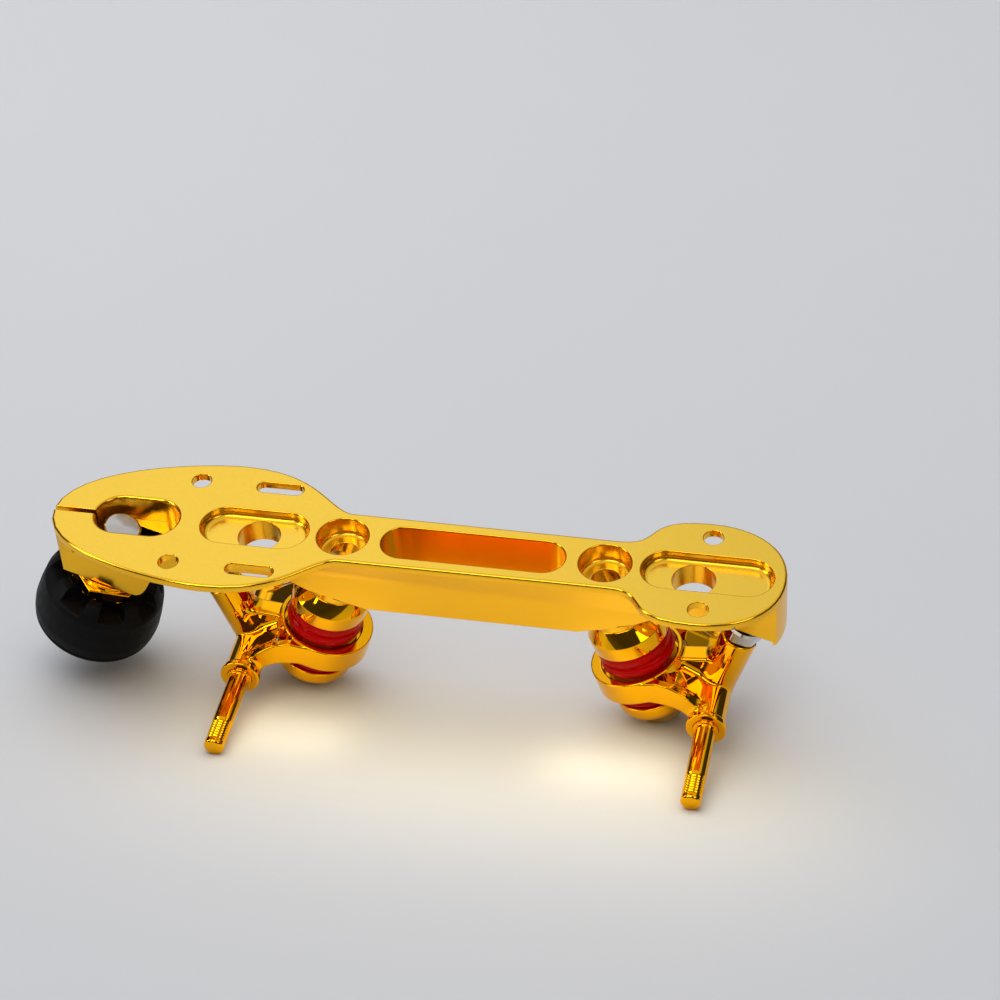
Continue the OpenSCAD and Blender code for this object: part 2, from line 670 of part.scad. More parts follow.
module pivot_nut() {
    flange_h = 1.6;
    corner_r = pivot_nut_af / 2 / cos(30);
    color(steel) on_pivot() translate([0, 0, pivot_nut_q]) difference() {
        union() {
            intersection() {
                hex(pivot_nut_af, pivot_nut_h);
                cylinder(r1 = pivot_nut_af / 2 + 0.3, r2 = corner_r + 4, h = pivot_nut_h);
            }
            translate([0, 0, pivot_nut_h - flange_h]) cylinder(r = corner_r + 0.2, h = flange_h);
        }
        translate([0, 0, -cut]) cylinder(r = pivot_r + seat_gap, h = pivot_nut_h + 2 * cut);
    }
}

module pivot_cup() {
    bore_r = pivot_r + run;
    color(nylon) on_pivot() difference() {
        translate([0, 0, pivot_cup_q]) cylinder(r = pivot_cup_r, h = pivot_cup_l);
        translate([0, 0, pivot_ball_q]) sphere(r = bore_r);
        translate([0, 0, pivot_cup_q - cut]) cylinder(r = bore_r, h = pivot_ball_q - pivot_cup_q + cut);
    }
}

// Threaded stem with a disc moulded into the rubber
module toe_stop_stem() {
    color(steel) on_toe_stop() rotate_extrude() polygon([
        [0, -stem_in], [stem_r - stem_chamfer, -stem_in], [stem_r, stem_chamfer - stem_in],
        [stem_r, stop_disc_t], [stop_disc_r, stop_disc_t], [stop_disc_r, stop_stem_end_t], [0, stop_stem_end_t]]);
}

module toe_stop_nut() {
    chamfer_r = stop_nut_af / 2 + 0.4;
    hex_h = stop_nut_h - stop_nut_face_h;
    color(gold) on_toe_stop() translate([0, 0, stop_nut_t]) difference() {
        union() {
            cylinder(r = stop_nut_af / 2 - 0.6, h = stop_nut_face_h + cut);
            translate([0, 0, stop_nut_face_h]) rotate([0, 0, -stop_nut_turn]) intersection() {
                hex(stop_nut_af, hex_h);
                cylinder(r1 = chamfer_r + hex_h, r2 = chamfer_r, h = hex_h);
            }
        }
        translate([0, 0, -cut]) cylinder(r = stem_r + run, h = stop_nut_h + 2 * cut);
    }
}

// Barrel of rubber with a notched skirt and a diamond tread
module toe_stop_rubber() {
    skirt_r = stop_r - 1.2;
    skirt_h = 7.6;
    groove_t = stop_face_t - 4;
    band_r = stop_r - 0.5;
    rim_round = 1.4;
    outside = concat(
        [[stop_rim_r, stop_rim_t], [skirt_r, stop_rim_t + skirt_h], [stop_r, stop_wide_t]],
        [[band_r, groove_t - stop_groove], [band_r - stop_groove, groove_t],
            [band_r - stop_groove / 2, groove_t + stop_groove],
            [stop_face_r + rim_round, stop_face_t - rim_round], [stop_face_r, stop_face_t]]);
    color(rubber) on_toe_stop() difference() {
        rotate_extrude() polygon(concat(
            [[stop_recess_r, stop_rim_t]], outside,
            [[0, stop_face_t], [0, stop_stem_end_t + seat_gap],
                [stop_disc_r + seat_gap, stop_stem_end_t + seat_gap], [stop_disc_r + seat_gap, stop_disc_t - seat_gap],
                [stem_r + seat_gap, stop_disc_t - seat_gap], [stem_r + seat_gap, stop_recess_t],
                [stop_recess_r, stop_recess_t]]));
        for (i = [0:stop_notches - 1]) rotate([0, 0, (i + 0.5) * 360 / stop_notches])
            translate([stop_recess_r - stop_groove, -stop_notch_w / 2, stop_rim_t - cut])
                cube([stop_r, stop_notch_w, stop_notch_depth + cut]);
        for (lean = [-1, 1]) for (k = [-2:2])
            rotate([0, 0, lean * 32]) translate([-stop_r, k * tread_pitch - tread_w / 2, stop_face_t - tread_depth])
                cube([2 * stop_r, tread_w, tread_depth + cut]);
    }
}

module toe_clamp_screw() {
    socket_af = 4;
    socket_depth = 2.6;
    screw_l = 2 * beam_half_w - 3;
    color(steel) on_clamp() difference() {
        union() {
            translate([0, 0, 0.2]) cylinder(r = clamp_head_r, h = clamp_head_h - 0.2);
            cylinder(r = clamp_head_r - 0.5, h = clamp_head_h);
            translate([0, 0, clamp_head_h - cut]) cylinder(r = clamp_r, h = screw_l - clamp_head_h + cut);
        }
        translate([0, 0, -cut]) hex(socket_af, socket_depth + cut);
    }
}

plate();
kingpin();  // front_kingpin
outer_cup();  // front_outer_cup
outer_bushing();  // front_outer_bushing
hanger();  // front_hanger
axle();  // front_axle
inner_bushing();  // front_inner_bushing
inner_cup();  // front_inner_cup
pivot_pin();  // front_pivot_pin
pivot_nut();  // front_pivot_nut
pivot_cup();  // front_pivot_cup
rear() kingpin();  // rear_kingpin
rear() outer_cup();  // rear_outer_cup
rear() outer_bushing();  // rear_outer_bushing
rear() hanger();  // rear_hanger
rear() axle();  // rear_axle
rear() inner_bushing();  // rear_inner_bushing
rear() inner_cup();  // rear_inner_cup
rear() pivot_pin();  // rear_pivot_pin
rear() pivot_nut();  // rear_pivot_nut
rear() pivot_cup();  // rear_pivot_cup
toe_stop_stem();
toe_stop_nut();
toe_stop_rubber();
toe_clamp_screw();
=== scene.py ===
# %% [markdown]
# # A gold roller skate plate
# A quad skate plate carries the boot on two sprung trucks. The sole plate is milled from aluminium
# and anodised gold, each truck leans on two red bushings, and a black rubber stop sits under the toe.
# The CAD model gives every size and place, so this script adds what CAD leaves out: finishes,
# rounded edges, cast forms, moulded rubber and light.

# %% Load the CAD frame
import json
import math

import bmesh
import bpy
import numpy as np
from mathutils import Matrix, Vector


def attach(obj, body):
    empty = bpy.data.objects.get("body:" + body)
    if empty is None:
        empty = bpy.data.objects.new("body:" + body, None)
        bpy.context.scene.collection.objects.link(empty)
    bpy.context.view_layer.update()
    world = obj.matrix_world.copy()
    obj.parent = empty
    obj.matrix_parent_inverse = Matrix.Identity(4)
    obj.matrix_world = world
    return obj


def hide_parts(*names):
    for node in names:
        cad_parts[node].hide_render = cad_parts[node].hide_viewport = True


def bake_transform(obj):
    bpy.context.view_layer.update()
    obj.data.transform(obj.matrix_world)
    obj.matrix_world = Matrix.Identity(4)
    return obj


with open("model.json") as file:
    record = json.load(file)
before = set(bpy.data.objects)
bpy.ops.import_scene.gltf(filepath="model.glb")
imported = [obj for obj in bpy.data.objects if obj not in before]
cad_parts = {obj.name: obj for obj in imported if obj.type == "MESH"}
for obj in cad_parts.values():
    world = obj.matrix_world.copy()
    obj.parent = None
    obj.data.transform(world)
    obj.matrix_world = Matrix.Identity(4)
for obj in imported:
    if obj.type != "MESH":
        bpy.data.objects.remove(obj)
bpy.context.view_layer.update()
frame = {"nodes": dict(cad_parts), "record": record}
nodes = frame["nodes"]
MM = 0.001
print("CAD nodes:", len(nodes))

# %% [markdown]
# ## The camera
# A long lens stands above the plate's left side, a little towards the heel.
# Its place is set by two angles, a roll and a distance from the middle of the sole face.
# Building the camera's three axes from those numbers keeps each of them easy to change.

# %% Camera
AZIMUTH, ELEVATION, ROLL = math.radians(194.63), math.radians(42.16), math.radians(-4.36)
DISTANCE, SHIFT_RIGHT, SHIFT_UP = 1051.2 * MM, 11.52 * MM, 17.53 * MM
LENS, SENSOR = 101.76, 36
level = math.cos(ELEVATION)
back = Vector((math.sin(AZIMUTH) * level, -math.cos(AZIMUTH) * level, math.sin(ELEVATION)))
right = Vector((math.cos(AZIMUTH), math.sin(AZIMUTH), 0))
up = back.cross(right)
camera = bpy.data.objects.new("camera", bpy.data.cameras.new("camera"))
bpy.context.scene.collection.objects.link(camera)
camera.data.sensor_width = SENSOR
camera.data.lens = LENS
place = back * DISTANCE + right * SHIFT_RIGHT + up * SHIFT_UP
axis_x = math.cos(ROLL) * right + math.sin(ROLL) * up
axis_y = -math.sin(ROLL) * right + math.cos(ROLL) * up
camera.matrix_world = Matrix((axis_x, axis_y, back)).transposed().to_4x4()
camera.matrix_world.translation = place
bpy.context.scene.camera = camera
print("camera at", [round(v, 3) for v in place])

# %% [markdown]
# ## How the plate lies
# With no wheels on, the plate can't stand level: it leans over until both kingpin heads and the
# axle ends on one side touch the floor. The CAD frame stays level, so the floor is tilted instead.
# The lean is found by halving an interval until both sets of points are equally low.

# %% Find the lean of the floor
def points_of(name):
    mesh = nodes[name].data
    flat = np.empty(len(mesh.vertices) * 3, np.float32)
    mesh.vertices.foreach_get("co", flat)
    return flat.reshape(-1, 3).astype(float)

def lowest(points, angle):
    return float((points[:, 2] * math.cos(angle) - points[:, 1] * math.sin(angle)).min())

heads = np.vstack([points_of("front_kingpin"), points_of("rear_kingpin")])
ends = np.vstack([points_of("front_axle"), points_of("rear_axle")])
STEEPEST, HALVINGS = 0.6, 40
low, high = 0.0, STEEPEST
for _ in range(HALVINGS):
    lean = (low + high) / 2
    if lowest(heads, lean) < lowest(ends, lean):
        low = lean
    else:
        high = lean
floor_height = lowest(heads, lean)
STUDIO = Matrix.Rotation(lean, 4, "X")
print("lean", round(math.degrees(lean), 2), "deg, floor", round(floor_height, 4), "m")

# %% [markdown]
# ## Node helpers
# Every finish below is a small network of nodes round one Principled shader.
# These helpers make a node, join two sockets and start a material, so that a finish reads as a list.

# %% Node helpers
NOISE_LOW, NOISE_HIGH = 0.3, 0.7
BUMP_DEPTH = 0.0001

def add(tree, kind, **values):
    node = tree.nodes.new(kind)
    for key, value in values.items():
        if key in node.inputs:
            node.inputs[key].default_value = value
        else:
            setattr(node, key, value)
    return node

def join(tree, source, target):
    tree.links.new(source, target)

def new_material(name):
    material = bpy.data.materials.new(name)
    material.use_nodes = True
    tree = material.node_tree
    return material, tree, tree.nodes["Principled BSDF"]

def mix_colours(tree, factor, one, two):
    mix = add(tree, "ShaderNodeMix", data_type="RGBA")
    join(tree, factor, mix.inputs[0])
    mix.inputs[6].default_value = (*one, 1)
    mix.inputs[7].default_value = (*two, 1)
    return mix.outputs[2]

def blend_values(tree, factor, one, two, kind):
    mix = add(tree, "ShaderNodeMix", data_type=kind)
    first, second, result = (2, 3, 0) if kind == "FLOAT" else (6, 7, 2)
    join(tree, factor, mix.inputs[0])
    join(tree, one, mix.inputs[first])
    join(tree, two, mix.inputs[second])
    return mix.outputs[result]

def ranged(tree, value, low_in, high_in, low_out, high_out):
    node = add(tree, "ShaderNodeMapRange")
    join(tree, value, node.inputs[0])
    for i, number in enumerate((low_in, high_in, low_out, high_out)):
        node.inputs[i + 1].default_value = number
    return node.outputs[0]

def noise_of(tree, scale, detail=4):
    coords = add(tree, "ShaderNodeTexCoord")
    noise = add(tree, "ShaderNodeTexNoise", Scale=scale, Detail=detail)
    join(tree, coords.outputs["Object"], noise.inputs[0])
    return noise.outputs[0]

def spread(tree, noise, low, high):
    return ranged(tree, noise, NOISE_LOW, NOISE_HIGH, low, high)

def bump_on(tree, shader, height, strength, distance):
    bump = add(tree, "ShaderNodeBump", Strength=strength, Distance=distance)
    join(tree, height, bump.inputs["Height"])
    join(tree, bump.outputs[0], shader.inputs["Normal"])

def paint(tree, shader, colour_noise, colours, rough_noise, rough):
    join(tree, mix_colours(tree, noise_of(tree, *colour_noise), *colours), shader.inputs["Base Color"])
    join(tree, spread(tree, noise_of(tree, *rough_noise), *rough), shader.inputs["Roughness"])

# %% [markdown]
# ## Gold
# The plate and trucks are polished and then anodised, so they mirror the studio with a deep gold tint.
# The faces that look straight up are satin, because they were blasted before the dye, and their paler gold
# colour is a painted sheen.
# One network gives both: the way a surface faces picks its colour and its roughness.
# The pockets keep the duller finish of the milling cutter, so they gather light from all round.

# %% Gold finishes
PLATE_LIGHT, PLATE_DEEP = (0.96, 0.52, 0.026), (0.94, 0.5, 0.022)
TRUCK_LIGHT, TRUCK_DEEP = (0.98, 0.47, 0.004), (0.97, 0.44, 0.003)
# Painted sheen: paler gold colours for faces that look up; only their satin roughness is the real finish.
PAINTED_SHEEN_LIGHT, PAINTED_SHEEN_DEEP = (0.94, 0.62, 0.072), (0.93, 0.6, 0.064)
SATIN_ROUGH, FACING_UP = (0.27, 0.3), (0.95, 0.995)
POCKET_ROUGH, POCKET_SPREAD, POCKET_HALF, POCKET_TOP = 0.25, 0.02, 0.0105, -0.0009
WALL_FADE, TOP_FADE = 0.0003, 0.0004
PEEL_SCALE = 500

def rough_inside_pockets(tree, coords, rough):
    split = add(tree, "ShaderNodeSeparateXYZ")
    join(tree, coords.outputs["Object"], split.inputs[0])
    aside = add(tree, "ShaderNodeMath", operation="ABSOLUTE")
    join(tree, split.outputs["Y"], aside.inputs[0])
    between_walls = ranged(tree, aside.outputs[0], POCKET_HALF, POCKET_HALF + WALL_FADE, 1, 0)
    below_top = ranged(tree, split.outputs["Z"], POCKET_TOP, POCKET_TOP + TOP_FADE, 1, 0)
    both = add(tree, "ShaderNodeMath", operation="MULTIPLY")
    join(tree, between_walls, both.inputs[0])
    join(tree, below_top, both.inputs[1])
    milled = spread(tree, noise_of(tree, 70, 3), POCKET_ROUGH - POCKET_SPREAD, POCKET_ROUGH + POCKET_SPREAD)
    return blend_values(tree, both.outputs[0], rough, milled, "FLOAT")

def gold_material(name, light, deep, rough_low, rough_high, peel, satin_and_sheen_top=False):
    material, tree, shader = new_material(name)
    shader.inputs["Metallic"].default_value = 1
    colour = mix_colours(tree, noise_of(tree, 45), light, deep)
    rough = spread(tree, noise_of(tree, 160), rough_low, rough_high)
    if satin_and_sheen_top:
        coords = add(tree, "ShaderNodeTexCoord")
        split = add(tree, "ShaderNodeSeparateXYZ")
        join(tree, coords.outputs["Normal"], split.inputs[0])
        on_top = ranged(tree, split.outputs["Z"], *FACING_UP, 0, 1)
        satin = spread(tree, noise_of(tree, PEEL_SCALE, 2), *SATIN_ROUGH)
        # painted sheen: faces that look up get a paler gold
        painted_sheen_colour = mix_colours(tree, noise_of(tree, 60), PAINTED_SHEEN_LIGHT, PAINTED_SHEEN_DEEP)
        rough = blend_values(tree, on_top, rough, satin, "FLOAT")
        colour = blend_values(tree, on_top, colour, painted_sheen_colour, "RGBA")
        rough = rough_inside_pockets(tree, coords, rough)
    join(tree, colour, shader.inputs["Base Color"])
    join(tree, rough, shader.inputs["Roughness"])
    bump_on(tree, shader, noise_of(tree, PEEL_SCALE, 2), peel, BUMP_DEPTH)
    return material

plate_gold = gold_material("plate_gold", PLATE_LIGHT, PLATE_DEEP, 0.15, 0.19, 0.003, satin_and_sheen_top=True)
truck_gold = gold_material("truck_gold", TRUCK_LIGHT, TRUCK_DEEP, 0.05, 0.07, 0.001)
print("finishes:", plate_gold.name, truck_gold.name)

# %% [markdown]
# ## Steel, bronze and nylon
# The nuts and screws are bright steel, the pivot pins steel darkened with painted shade, the kingpins a browner
# bronze, and the liners that hold the pivot balls are pale nylon.

# %% Other hard finishes
def metal_material(name, one, two, rough_low, rough_high):
    material, tree, shader = new_material(name)
    shader.inputs["Metallic"].default_value = 1
    paint(tree, shader, (120,), (one, two), (700, 3), (rough_low, rough_high))
    bump_on(tree, shader, noise_of(tree, 1200, 3), 0.06, BUMP_DEPTH)
    return material

bright_steel = metal_material("bright_steel", (0.66, 0.67, 0.7), (0.56, 0.57, 0.6), 0.1, 0.2)
# Painted shade: the pivot pins' steel is darkened as if it lay in shade.
dark_steel = metal_material("dark_steel", (0.2, 0.2, 0.21), (0.13, 0.13, 0.14), 0.2, 0.34)
bronze = metal_material("kingpin_bronze", (0.62, 0.4, 0.14), (0.52, 0.32, 0.1), 0.1, 0.2)
nylon, tree, shader = new_material("liner_nylon")
NYLON_LIGHT, NYLON_DEEP = (0.7, 0.69, 0.64), (0.6, 0.59, 0.55)
join(tree, mix_colours(tree, noise_of(tree, 300), NYLON_LIGHT, NYLON_DEEP), shader.inputs["Base Color"])
shader.inputs["Roughness"].default_value = 0.5
print("finishes:", bright_steel.name, dark_steel.name, bronze.name, nylon.name)

# %% [markdown]
# ## Milled and turned edges
# No machined part has razor edges: a cutter or a file leaves a narrow round that catches the light.
# Each hard node is copied, its triangles are joined into flat faces again, and every sharp edge gets
# a bevel width of its own, in millimetres; a width of 0 leaves it sharp.
# Weighted normals keep the flat faces flat beside the rounds.

# %% Rounded copies of CAD nodes
WELD_DISTANCE, FLAT_ANGLE, SHARP_ANGLE = 2e-6, math.radians(0.3), math.radians(28)
ROUND_STEPS, FLAT_WEIGHT = 3, 60
body_of = {name: body for body, names in frame["record"]["behaviour"]["bodies"].items() for name in names}

def rounded_copy(name, piece_name, material, width_of):
    work = bmesh.new()
    work.from_mesh(nodes[name].data)
    bmesh.ops.remove_doubles(work, verts=work.verts, dist=WELD_DISTANCE)
    bmesh.ops.dissolve_degenerate(work, edges=work.edges, dist=WELD_DISTANCE)
    bmesh.ops.dissolve_limit(work, angle_limit=FLAT_ANGLE, verts=work.verts, edges=work.edges)
    widths = work.edges.layers.float.new("bevel_weight_edge")
    work.verts.index_update()
    work.edges.index_update()
    sharp = [e for e in work.edges if len(e.link_faces) == 2 and e.calc_face_angle(0) > SHARP_ANGLE]
    for edge, width in zip(sharp, width_of(sharp)):
        edge[widths] = width
        edge.smooth = width > 0
    for face in work.faces:
        face.smooth = True
    mesh = bpy.data.meshes.new(piece_name)
    work.to_mesh(mesh)
    work.free()
    mesh.materials.append(material)
    piece = bpy.data.objects.new(piece_name, mesh)
    bpy.context.scene.collection.objects.link(piece)
    bevel = piece.modifiers.new("rounds", "BEVEL")
    bevel.width, bevel.segments, bevel.limit_method = 1 * MM, ROUND_STEPS, "WEIGHT"
    bevel.use_clamp_overlap, bevel.loop_slide = False, False
    flat = piece.modifiers.new("flat_faces", "WEIGHTED_NORMAL")
    flat.weight = FLAT_WEIGHT
    flat.keep_sharp = True
    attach(piece, body_of[name])
    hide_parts(name)
    print(piece_name, len(mesh.polygons), "faces,", len(sharp), "rounded edges")

def even(width, shortest=0.0):
    return lambda edges: [width if e.calc_length() > shortest else 0 for e in edges]

# %% Widths on the plate
RIM_WIDTH, POCKET_WIDTH, HOLE_WIDTH, OTHER_WIDTH = 1.3, 0.7, 0.45, 0.3
TOP_Z, RIM_LENGTH, POCKET_LENGTH = -1e-5, 0.1, 0.015
SLIT_X, SLIT_HALF = 0.135, 0.0012
HEEL_X, HEEL_LIP_Z = -0.1, -0.0025

def plate_widths(edges):
    top = [e for e in edges if all(v.co.z > TOP_Z for v in e.verts)]
    at_vertex = {}
    for edge in top:
        for v in edge.verts:
            at_vertex.setdefault(v.index, []).append(edge)
    width = {}
    for edge in top:
        if edge.index in width:
            continue
        loop, queue = {edge.index: edge}, [edge]
        while queue:
            for v in queue.pop().verts:
                for other in at_vertex[v.index]:
                    if other.index not in loop:
                        loop[other.index] = other
                        queue.append(other)
        across = [v.co.x for e in loop.values() for v in e.verts]
        size = max(across) - min(across)
        chosen = RIM_WIDTH if size > RIM_LENGTH else POCKET_WIDTH if size > POCKET_LENGTH else HOLE_WIDTH
        for e in loop.values():
            beside_slit = e.verts[0].co.x > SLIT_X and max(abs(v.co.y) for v in e.verts) < SLIT_HALF
            width[e.index] = HOLE_WIDTH if beside_slit else chosen
    for e in edges:
        if min(v.co.x for v in e.verts) < HEEL_X and max(v.co.z for v in e.verts) < HEEL_LIP_Z:
            width[e.index] = 0
    return [width.get(e.index, OTHER_WIDTH) for e in edges]

rounded_copy("plate", "milled_plate", plate_gold, plate_widths)
for end in ("front", "rear"):
    rounded_copy(f"{end}_kingpin", f"{end}_turned_kingpin", bronze, even(0.15, 3 * MM))
    rounded_copy(f"{end}_pivot_nut", f"{end}_flange_nut", bright_steel, even(0.25, 2 * MM))
rounded_copy("toe_stop_nut", "stop_lock_nut", truck_gold, even(0.4))
rounded_copy("toe_clamp_screw", "clamp_cap_screw", bright_steel, even(0.2))

# %% [markdown]
# ## Plain nodes
# The pivot pins and their liners are almost hidden, so they keep their CAD meshes and only get a finish.

# %% Finishes on plain CAD nodes
def dress(name, material):
    nodes[name].data.materials.clear()
    nodes[name].data.materials.append(material)

for end in ("front", "rear"):
    # the pins get the steel darkened with painted shade
    dress(f"{end}_pivot_pin", dark_steel)
    dress(f"{end}_pivot_cup", nylon)
print("dressed plain nodes")

# %% [markdown]
# ## Mesh helper
# New pieces are made as plain lists of points and faces, in millimetres, and turned into objects here.
# Sharp edges are found by angle, so that flat and round stretches both shade as they should.

# %% Mesh helper
def make_object(name, points, faces, material, sharp_degrees=40):
    mesh = bpy.data.meshes.new(name)
    mesh.from_pydata([tuple(p * MM for p in point) for point in points], [], faces)
    work = bmesh.new()
    work.from_mesh(mesh)
    bmesh.ops.recalc_face_normals(work, faces=work.faces)
    work.to_mesh(mesh)
    work.free()
    mesh.polygons.foreach_set("use_smooth", [True] * len(mesh.polygons))
    mesh.set_sharp_from_angle(angle=math.radians(sharp_degrees))
    mesh.materials.append(material)
    made = bpy.data.objects.new(name, mesh)
    bpy.context.scene.collection.objects.link(made)
    print(name, len(mesh.vertices), "points")
    return made

# %% [markdown]
# ## Truck geometry
# Each truck is laid out along three lines: the kingpin that leans outwards, the axle across the plate,
# and the pivot from the axle up into the beam. The rear truck is the front one mirrored.

# %% Truck geometry
TILT, PIVOT_TILT = math.radians(17.5), math.radians(19)
KINGPIN_FOOT = np.array([50.0, 0, -8])
KINGPIN_AXIS = np.array([math.sin(TILT), 0, -math.cos(TILT)])
KINGPIN_OUT = np.array([math.cos(TILT), 0, math.sin(TILT)])
AXLE = np.array([90.6, 0, -57.7])
PIVOT_AXIS = np.array([math.sin(PIVOT_TILT), 0, math.cos(PIVOT_TILT)])
ACROSS = np.array([0.0, 1, 0])
RING_S, RING_END_S, WEB_S, WEB_END_S = 39.1, 49.1, 42.6, 45.6
RECESS_R, LIP_R, RING_R, RING_SHIFT = 15.2, 16.9, 17.6, 2.0
SIGN_OF = {"front": 1, "rear": -1}

def kingpin_point(station, out=0.0):
    return KINGPIN_FOOT + KINGPIN_AXIS * station + KINGPIN_OUT * out

def at_end(points, end):
    return np.asarray(points) * np.array([SIGN_OF[end], 1, 1])

print("ring centre", kingpin_point((RING_S + RING_END_S) / 2).round(2))

# %% [markdown]
# ## Cast hangers
# A hanger is one casting: a ring, two arms, a sleeve for the axle and a tube for the pivot flow into
# each other with generous fillets, and it is then polished. Bevels on joined solids can't give that flow.
# A distance field can: each form is a formula for the distance to its surface, a soft minimum melts
# them together, and a net of points is pulled onto the surface where the distance is zero.
# The last number in each call of thick, melt and carve is the size of a round, in millimetres.

# %% Distance formulas
def curve(points, steps=12):
    p = [np.array(q, float) for q in points]
    t = np.linspace(0, 1, steps, endpoint=False)[:, None]
    return (1 - t) ** 3 * p[0] + 3 * (1 - t) ** 2 * t * p[1] + 3 * (1 - t) * t * t * p[2] + t ** 3 * p[3]

def polygon_distance(a, b, outline):
    outline = np.asarray(outline, float)
    best = np.full(a.shape, 1e9)
    inside = np.zeros(a.shape, bool)
    for (x0, y0), (x1, y1) in zip(outline, np.roll(outline, -1, 0)):
        ex, ey = x1 - x0, y1 - y0
        t = np.clip(((a - x0) * ex + (b - y0) * ey) / (ex * ex + ey * ey), 0, 1)
        best = np.minimum(best, (a - x0 - t * ex) ** 2 + (b - y0 - t * ey) ** 2)
        crosses = (y0 > b) != (y1 > b)
        if ey:
            inside ^= crosses & (a < (b - y0) / ey * ex + x0)
    return np.where(inside, -1, 1) * np.sqrt(best)

def thick(flat, height, rounding):
    flat, height = flat + rounding, height + rounding
    outer = np.hypot(np.maximum(flat, 0), np.maximum(height, 0))
    return np.minimum(np.maximum(flat, height), 0) + outer - rounding

def melt(one, two, k):
    h = np.clip(0.5 + 0.5 * (two - one) / k, 0, 1)
    return two + (one - two) * h - k * h * (1 - h)

def carve(body, tool, k):
    return -melt(-body, tool, k)

print("soft minimum of two equal distances:", float(melt(np.array(0.0), np.array(0.0), 2.0)))

# %% Hanger field
def by_axle(x, z):
    return (AXLE[0] + x, AXLE[2] + z)

def on_ring(out, station):
    point = kingpin_point(station, out)
    return (point[0], point[2])

def on_tube(q):
    point = AXLE + PIVOT_AXIS * q
    return (point[0], point[2])

ARM = np.vstack([
    curve([on_ring(9, RING_S + 0.5), by_axle(-14, 15), by_axle(-8, 11.5), by_axle(-3, 6)]),
    [by_axle(-3, 6), by_axle(0, 0)],
    curve([by_axle(-6, -1), by_axle(-9, 3.5), by_axle(-14, 5), on_ring(4, RING_END_S - 0.2)]),
    [on_ring(4, RING_END_S - 0.2), on_ring(-2, RING_END_S - 0.2), on_ring(-2, RING_S + 0.5)]])
WEB = [on_ring(RECESS_R, 43.1), by_axle(-2, 6.5), by_axle(0, 0), by_axle(-6, -1),
       on_ring(RECESS_R, RING_END_S - 0.2)]
RIB = [on_ring(15.6, 41.1), on_tube(18.3), on_tube(2), by_axle(-5, 1), on_ring(15.6, RING_END_S - 1)]
SLEEVE_R, COLLAR_R, HALF_WIDTH, COLLAR_W, TUBE_R, TUBE_L = 6.8, 7.7, 24.2, 2.6, 7.1, 29.3
ARM_W, ARM_SIDE, ARM_FLARE, ARM_FROM = 3.4, 17.25, 3.2, 63.26
WEB_HALF, RIB_HALF, KINGPIN_BORE_R, AXLE_BORE_R = 16.5, 4, 7.5, 4.85
PIVOT_BORE_R, PIVOT_BORE_FROM = 4.1, 14

def hanger_distance(p):
    x, y, z = p[:, 0], np.abs(p[:, 1]), p[:, 2]
    local = p - KINGPIN_FOOT
    s, out = local @ KINGPIN_AXIS, local @ KINGPIN_OUT
    rho = np.hypot(out, y)
    height = np.abs(s - (RING_S + RING_END_S) / 2) - (RING_END_S - RING_S) / 2
    ring = thick(np.minimum(np.hypot(out + RING_SHIFT, y) - RING_R, rho - LIP_R), height, 0.5)
    side = ARM_SIDE - ARM_W / 2 + ARM_FLARE * np.clip((x - ARM_FROM) / (AXLE[0] - ARM_FROM), 0, 1)
    arm = thick(polygon_distance(x, z, ARM), np.abs(y - side) - ARM_W / 2, 0.7)
    web = thick(polygon_distance(x, z, WEB), y - WEB_HALF, 0.3)
    rib = thick(polygon_distance(x, z, RIB), y - RIB_HALF, 1.2)
    round_axle = np.hypot(x - AXLE[0], z - AXLE[2])
    sleeve = thick(round_axle - SLEEVE_R, y - HALF_WIDTH + 1, 0.5)
    collar = thick(round_axle - COLLAR_R, np.abs(y - HALF_WIDTH + COLLAR_W / 2) - COLLAR_W / 2, 0.6)
    from_axle = p - AXLE
    q = from_axle @ PIVOT_AXIS
    across = from_axle - q[:, None] * PIVOT_AXIS
    round_pivot = np.sqrt((across ** 2).sum(1))
    tube = thick(round_pivot - TUBE_R, np.abs(q - TUBE_L / 2) - TUBE_L / 2, 0.8)
    core = melt(melt(sleeve, tube, 1.0), melt(web, rib, 3), 2.5)
    body = melt(melt(core, arm, 2.2), ring, 1.0)
    body = melt(body, collar, 0.8)
    body = carve(body, np.maximum(rho - RECESS_R, s - WEB_S), 0.5)
    body = carve(body, np.maximum(rho - RECESS_R, WEB_END_S - s), 0.5)
    body = np.maximum(body, KINGPIN_BORE_R - rho)
    body = carve(body, np.maximum(round_pivot - PIVOT_BORE_R, PIVOT_BORE_FROM - q), 0.4)
    return carve(body, round_axle - AXLE_BORE_R, 0.4)

print("distance at the axle:", hanger_distance(AXLE[None] + [[0, 10, 0]]).round(2))

